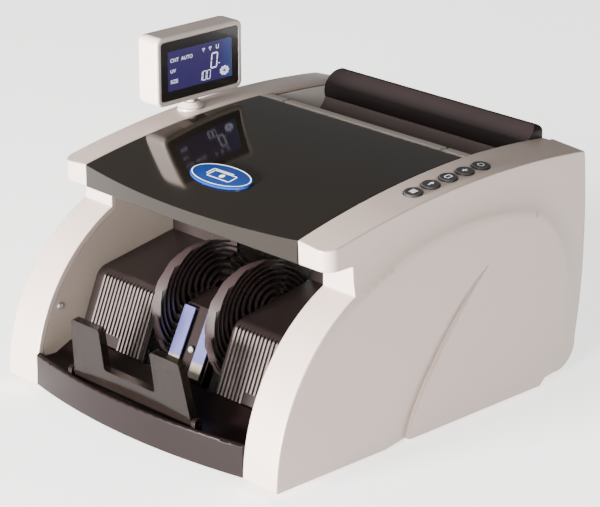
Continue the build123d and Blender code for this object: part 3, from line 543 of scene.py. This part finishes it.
def screen_marks():
    low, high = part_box("display_lcd")
    across = (0, 0, 1, high[0] + STAND_OFF)
    wall = Matrix((across, (1, 0, 0, low[1]), (0, 1, 0, low[2]), (0, 0, 0, 1)))
    faces = digits("0", (37.6, 8.8), (5.0, 4.9), 0.9)
    faces += digits("100", (26.6, 1.9), (2.7, 3.0), 0.45)
    faces += petals((49.6, 5.0))
    faces += pin_sign(31.4) + pin_sign(37.2) + cup_sign(42.6, 44.6, 24.2, 21.4)
    faces.append(bar((44.2, 11.0), (45.8, 11.0), 0.5))
    scaled = [[(u * MM, v * MM) for u, v in face] for face in faces]
    return flat_mesh("screen_marks", scaled, wall, glow("lit figures", rgb(0.80, 0.84, 1.0), 1.6))


# %% Mode names
def wall_text(name, text, size, matrix, finish):
    """Plain words as a flat mesh on a wall."""
    curve = bpy.data.curves.new(name, "FONT")
    curve.body, curve.size = text, size
    drawn = bpy.data.objects.new(name, curve)
    bpy.context.scene.collection.objects.link(drawn)
    bpy.context.view_layer.update()
    mesh = bpy.data.meshes.new_from_object(drawn)
    bpy.data.objects.remove(drawn)
    mesh.transform(matrix)
    mesh.materials.clear()
    mesh.materials.append(finish)
    thing = bpy.data.objects.new(name, mesh)
    bpy.context.scene.collection.objects.link(thing)
    return thing


def mode_names():
    low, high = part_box("display_lcd")
    finish = bpy.data.materials["lit figures"]
    made = []
    for row, text in enumerate(("CNT  AUTO", "UV", "SIZE")):
        left, up = low[1] + 2.2 * MM, low[2] + (19.3 - row * 7.2) * MM
        wall = Matrix(((0, 0, 1, high[0] + STAND_OFF), (1, 0, 0, left), (0, 1, 0, up), (0, 0, 0, 1)))
        made.append(wall_text(f"mode_name_{row + 1}", text, 3.6 * MM, wall, finish))
    return made


for piece in [screen_marks(), *mode_names()]:
    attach(piece, "display")

# %% [markdown]
# ## The nameplate
# The real plate is an oval resin badge: blue, domed, with a thin white line round it. The
# packed badge becomes its blue edge, and a domed skin is laid on that. The dome is a fan of
# rings about a middle point, each a little lower than the last. A flattened ball would
# do, but would bulge too much at its rim, where resin runs out thin. In place of a name
# the badge carries a plain sign: two banknotes, one behind the other, inside the line.


# %% Where the badge lies
CROWN_RADIUS, CROWN_MIDDLE = 0.690, 0.0618      # the top is a shallow arc: radius, Y of its middle
badge_low, badge_high = (Vector(corner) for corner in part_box("badge"))
badge_middle, badge_half = (badge_low + badge_high) / 2, (badge_high - badge_low) / 2
badge_slope = (CROWN_MIDDLE - badge_middle.y) / CROWN_RADIUS
badge_middle.z = badge_high.z - (badge_half.y - 0.4 * MM) * badge_slope
badge_place = Matrix.Translation(badge_middle) @ Matrix.Rotation(badge_slope, 4, "X")
print("badge leans", round(badge_slope, 3), "radians")


# %% Blue dome
def dome(name, half_x, half_y, height, finish, sides=64):
    shares = (0.25, 0.5, 0.7, 0.85, 0.95, 1.0)
    points, faces = [(0, 0, height)], []
    for share in shares:
        z = height * (1 - share**2.6)
        for turn in (2 * pi * k / sides for k in range(sides)):
            points.append((half_x * share * cos(turn), half_y * share * sin(turn), z))
    for k in range(sides):
        beside = (k + 1) % sides
        faces.append((0, 1 + k, 1 + beside))
        for ring in range(len(shares) - 1):
            a, b = 1 + ring * sides, 1 + (ring + 1) * sides
            faces.append((a + k, b + k, b + beside, a + beside))
    mesh = bpy.data.meshes.new(name)
    mesh.from_pydata(points, [], faces)
    mesh.shade_smooth()
    mesh.materials.append(finish)
    thing = bpy.data.objects.new(name, mesh)
    bpy.context.scene.collection.objects.link(thing)
    return thing


badge_white = moulding("white badge rim", rgb(0.80, 0.81, 0.82), 0.2, coat=0.5)
badge_face = dome("badge_face", badge_half.x * 0.975, badge_half.y * 0.955, 0.35 * MM, badge_blue)
badge_face.data.transform(badge_place @ Matrix.Translation((0, 0, 0.03 * MM)))
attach(badge_face, "lid_cover")


# %% The plain sign
def disc(centre, radius, sides):
    turn = [2 * pi * step / sides for step in range(sides)]
    return [(centre[0] + radius * cos(a), centre[1] + radius * sin(a)) for a in turn]


def outline(width, height, centre, stroke):
    x, y = centre
    a, b = width / 2, height / 2
    corners = [(x - a, y - b), (x + a, y - b), (x + a, y + b), (x - a, y + b)]
    return [bar(corners[k], corners[(k + 1) % 4], stroke) for k in range(4)]


def oval_ring(half_x, half_y, width, sides=72):
    """A thin oval band, as one four-sided face for each step round it."""
    inner, outer = [], []
    for a in (2 * pi * step / sides for step in range(sides)):
        inner.append(((half_x - width) * cos(a), (half_y - width) * sin(a)))
        outer.append((half_x * cos(a), half_y * sin(a)))
    return [[inner[k], outer[k], outer[(k + 1) % sides], inner[(k + 1) % sides]] for k in range(sides)]


sign = outline(20, 7.6, (1.6, -0.9), 0.8) + [disc((1.6, -0.9), 2.0, 24)]
sign += [bar((-10.8, -2.9), (-10.8, 4.3), 0.8), bar((-10.8, 4.3), (7.4, 4.3), 0.8)]
sign += oval_ring(badge_half.x / MM * 0.955, badge_half.y / MM * 0.935, 0.7)
sign = [[(u * MM, v * MM) for u, v in face] for face in sign]
lift = badge_place @ Matrix.Translation((0, 0, 0.42 * MM))
badge_sign = flat_mesh("badge_sign", sign, lift, badge_white)
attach(badge_sign, "lid_cover")

# %% [markdown]
# ## Marks on the keys
# Each key has a white printed sign. A sign could be part of the key's material, but faces
# laid on the key need no mask and keep their outline. A key's top is found in its own
# mesh: the points that lie furthest along the shell's normal there. The signs are simple:
# bars, an arrow, an oblong, a cross and a ring.


# %% Where a key's top lies
TOP_FALL = 0.104            # the shell's top falls outwards by this slope


def key_top(name):
    points = [vertex.co for vertex in nodes[name].data.vertices]
    middle = sum(points, Vector()) / len(points)
    normal = Vector((TOP_FALL, (middle.y - CROWN_MIDDLE) / CROWN_RADIUS, 1)).normalized()
    reach = max(point.dot(normal) for point in points)
    top = [point for point in points if point.dot(normal) > reach - 0.05 * MM]
    return sum(top, Vector()) / len(top), normal


def key_place(name):
    centre, normal = key_top(name)
    across = Vector((0, 1, 0)).cross(normal).cross(normal) * -1
    across.normalize()
    up = normal.cross(across)
    columns = Matrix((across, up, normal)).transposed().to_4x4()
    return Matrix.Translation(centre + normal * 0.06 * MM) @ columns


# %% Printed signs
def ring_sign(radius, count=12, step=0.524, overlap=0.6):
    """A ring drawn with short bars that overlap a little."""
    bars = []
    for start in (k * step for k in range(count)):
        ends = [(radius * cos(turn), radius * sin(turn)) for turn in (start, start + overlap)]
        bars.append(bar(*ends, 0.6))
    return bars


SIGNS = (
    [bar((-2.6, v), (2.6, v), 0.8) for v in (-1.4, 0, 1.4)],
    [bar((-2.6, 0), (1.0, 0), 0.9), [(0.6, -1.6), (2.8, 0), (0.6, 1.6)]],
    outline(4.6, 3.2, (0, 0), 0.7),
    [bar((-2.4, 0), (2.4, 0), 0.9), bar((0, -2.0), (0, 2.0), 0.9)],
    ring_sign(2.1),
)
ink = moulding("white print", rgb(0.75, 0.75, 0.74), 0.5)
for number, faces in enumerate(SIGNS, 1):
    scaled = [[(u * MM, v * MM) for u, v in face] for face in faces]
    mark = flat_mesh(f"key_mark_{number}", scaled, key_place(f"button_{number}"), ink)
    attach(mark, f"key_{number}")

# %% [markdown]
# ## The stacker wheels
# These two wheels are the machine's signature: long curved fingers that trail behind the
# turning, catch each note by its edge and lay it against the guides. They could be cut
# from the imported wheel, but its fingers are plain strips. Here one finger is drawn with a
# thickness that fades towards a pointed tip, and Geometry Nodes repeat it round the hub.


# %% One finger
wheel_low, wheel_high = (Vector(corner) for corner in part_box("impeller_left"))
WHEEL = {"radius": (wheel_high.z - wheel_low.z) / 2, "width": wheel_high.x - wheel_low.x, "fingers": 16}
FINGER = {
    "root": 9.8 * MM,           # where it leaves the hub
    "sweep": radians(140),      # how far it trails round the wheel
    "lead": 0.125,              # the share of that sweep that is even along it
    "thick": (0.95, 0.40),      # half thickness in millimetres, at root and tip
    "point": 0.82,              # where along it the pointed tip begins
}


def finger(steps=26):
    """A strip that leaves the hub square and ends nearly along the rim."""
    points, faces = [], []
    root, tip = FINGER["root"], WHEEL["radius"] - 0.25 * MM
    lead, point = FINGER["lead"], FINGER["point"]
    thick_root, thick_tip = FINGER["thick"]
    for step in range(steps):
        t = step / (steps - 1)
        radius = root + (tip - root) * t
        angle = -FINGER["sweep"] * (lead * t + (1 - lead) * t * t)
        thick = (thick_root - (thick_root - thick_tip) * t) * MM
        taper = max(0.0, t - point) / (1 - point)
        left, right = WHEEL["width"] * (-0.5 + 0.86 * taper**1.25), WHEEL["width"] * 0.5
        for side, x in ((-1, left), (-1, right), (1, right), (1, left)):
            r = radius - side * thick
            points.append((x, r * cos(angle), r * sin(angle)))
        if step:
            a, b = 4 * step - 4, 4 * step
            faces += [(a + k, a + (k + 1) % 4, b + (k + 1) % 4, b + k) for k in range(4)]
    faces += [(3, 2, 1, 0), tuple(4 * steps - 4 + k for k in range(4))]
    mesh = bpy.data.meshes.new("finger")
    mesh.from_pydata(points, [], faces)
    mesh.update()
    return bpy.data.objects.new("finger", mesh)


# %% Fingers round the hub
def ring_tree(part, finish):
    tree = bpy.data.node_groups.new("ring of parts", "GeometryNodeTree")
    sockets = tree.interface
    sockets.new_socket("Geometry", in_out="INPUT", socket_type="NodeSocketGeometry")
    count = sockets.new_socket("Count", in_out="INPUT", socket_type="NodeSocketInt")
    count.default_value = WHEEL["fingers"]
    sockets.new_socket("Geometry", in_out="OUTPUT", socket_type="NodeSocketGeometry")
    kinds = ("NodeGroupInput", "GeometryNodeMeshLine", "GeometryNodeInputIndex", "ShaderNodeMath",
             "ShaderNodeMath", "ShaderNodeCombineXYZ", "GeometryNodeObjectInfo",
             "GeometryNodeInstanceOnPoints", "GeometryNodeRealizeInstances", "GeometryNodeSetMaterial",
             "NodeGroupOutput")
    made = [tree.nodes.new(kind) for kind in kinds]
    start, line, index, share, turn, euler, info, place, real, paint, end = made
    line.inputs["Offset"].default_value = (0, 0, 0)
    share.operation, turn.operation = "DIVIDE", "MULTIPLY"
    turn.inputs[1].default_value = 2 * pi
    info.inputs["Object"].default_value = part
    paint.inputs["Material"].default_value = finish
    link = tree.links.new
    link(start.outputs["Count"], line.inputs["Count"])
    link(index.outputs[0], share.inputs[0])
    link(start.outputs["Count"], share.inputs[1])
    link(share.outputs[0], turn.inputs[0])
    link(turn.outputs[0], euler.inputs["X"])
    link(line.outputs[0], place.inputs["Points"])
    link(info.outputs["Geometry"], place.inputs["Instance"])
    link(euler.outputs[0], place.inputs["Rotation"])
    link(place.outputs[0], real.inputs[0])
    link(real.outputs[0], paint.inputs["Geometry"])
    link(paint.outputs[0], end.inputs[0])
    return tree, count.identifier


# %% Plain meshes from trees
def bake(thing):
    """The evaluated object as a plain mesh, with its modifiers gone."""
    bpy.context.view_layer.update()
    mesh = bpy.data.meshes.new_from_object(thing.evaluated_get(bpy.context.evaluated_depsgraph_get()))
    thing.modifiers.clear()
    thing.data = mesh
    return mesh


# %% The hub
def hub(width):
    """Turned hub with a raised collar on each face, from radii in mm and shares of its width."""
    profile = [(3.02, 0.5), (5.4, 0.5), (5.4, 0.44), (11.4, 0.44), (12.2, 0.40), (12.4, 0.30)]
    rings = [(r * MM, x * width) for r, x in profile]
    rings += [(r * MM, -x * width) for r, x in reversed(profile)]
    sides, points, faces = 48, [], []
    for r, x in rings:
        points += [(x, r * cos(2 * pi * k / sides), r * sin(2 * pi * k / sides)) for k in range(sides)]
    for ring in range(len(rings)):
        a, b = ring * sides, (ring + 1) % len(rings) * sides
        faces += [(a + k, a + (k + 1) % sides, b + (k + 1) % sides, b + k) for k in range(sides)]
    return points, faces


# %% Two whole wheels
def tidy_normals(mesh):
    work = bmesh.new()
    work.from_mesh(mesh)
    bmesh.ops.recalc_face_normals(work, faces=work.faces)
    work.to_mesh(mesh)
    work.free()


def stacker_wheel(name, node):
    low, high = (Vector(corner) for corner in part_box(node))
    one = finger()
    bpy.context.scene.collection.objects.link(one)
    thing = bpy.data.objects.new(name, bpy.data.meshes.new(name))
    bpy.context.scene.collection.objects.link(thing)
    modifier = thing.modifiers.new("fingers", "NODES")
    modifier.node_group, count = ring_tree(one, wheel_gloss)
    modifier[count] = WHEEL["fingers"]
    mesh = bake(thing)
    bpy.data.objects.remove(one)
    points, faces = hub(high.x - low.x)
    start = len(mesh.vertices)
    joined = bpy.data.meshes.new(name)
    all_points = [vertex.co[:] for vertex in mesh.vertices] + points
    all_faces = [tuple(polygon.vertices) for polygon in mesh.polygons]
    all_faces += [tuple(start + k for k in face) for face in faces]
    joined.from_pydata(all_points, [], all_faces)
    joined.materials.append(wheel_gloss)
    thing.data = joined
    tidy_normals(joined)
    joined.transform(Matrix.Translation((low + high) / 2))
    soften(thing)
    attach(thing, "impellers")
    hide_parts(node)
    print(name, len(joined.polygons), "faces")


stacker_wheel("stacker_wheel_left", "impeller_left")
stacker_wheel("stacker_wheel_right", "impeller_right")

# %% [markdown]
# ## The stage
# A wide, low key light from the front whitens the rims that face it and only grazes the
# tops and sides, which stay a warm grey. A weaker one from the right front lights the
# scoops in the flanks. The pale floor glows faintly, so that it fills the shadows.


# %% Floor
def floor():
    mesh = bpy.data.meshes.new("floor")
    reach = 12.0
    corners = [(-reach, -reach, 0), (reach, -reach, 0), (reach, reach, 0), (-reach, reach, 0)]
    mesh.from_pydata(corners, [], [(0, 1, 2, 3)])
    thing = bpy.data.objects.new("floor", mesh)
    bpy.context.scene.collection.objects.link(thing)
    paper = Finish("pale floor")
    shade = paper.mix(paper.noise(3, 2), rgb(0.90, 0.895, 0.885), rgb(0.93, 0.925, 0.915))
    mesh.materials.append(paper.surface(
        Base_Color=shade, Roughness=0.9, Emission_Color=shade, Emission_Strength=1.9
    ))


floor()


# %% Lights
def lamp(name, place, target, size, power, colour):
    light = bpy.data.lights.new(name, "AREA")
    light.shape, light.size, light.size_y = "RECTANGLE", *size
    light.energy, light.color = power, colour
    thing = bpy.data.objects.new(name, light)
    thing.location = place
    thing.rotation_euler = (Vector(target) - Vector(place)).to_track_quat("-Z", "Y").to_euler()
    bpy.context.scene.collection.objects.link(thing)


AIM = (0, 0, 0.1)           # the middle of the machine
lamp("front key", (-0.35, -2.7, 0.22), AIM, (0.8, 0.3), 900, (1, 0.98, 0.96))
lamp("right front", (1.0, -2.3, 1.0), AIM, (0.7, 0.7), 110, (1, 0.975, 0.95))
world = bpy.data.worlds.new("studio")
bpy.context.scene.world = world
world.use_nodes = True
sky = world.node_tree.nodes["Background"]
sky.inputs["Color"].default_value = rgb(1.0, 0.985, 0.965)
sky.inputs["Strength"].default_value = 0.3

# %% Camera
LOOK_DOWN, HEADING = 20.40, 46.19       # degrees below level, and round from straight back
eye = bpy.data.objects.new("eye", bpy.data.cameras.new("eye"))
eye.data.lens, eye.data.sensor_width = 155.63, 36.0
eye.location = (1.13034, -1.0767, 0.66709)
eye.rotation_euler = (radians(90 - LOOK_DOWN), 0, radians(HEADING))
bpy.context.scene.collection.objects.link(eye)
bpy.context.scene.camera = eye
print("camera", round(eye.location.length, 3), "m from the middle of the base")
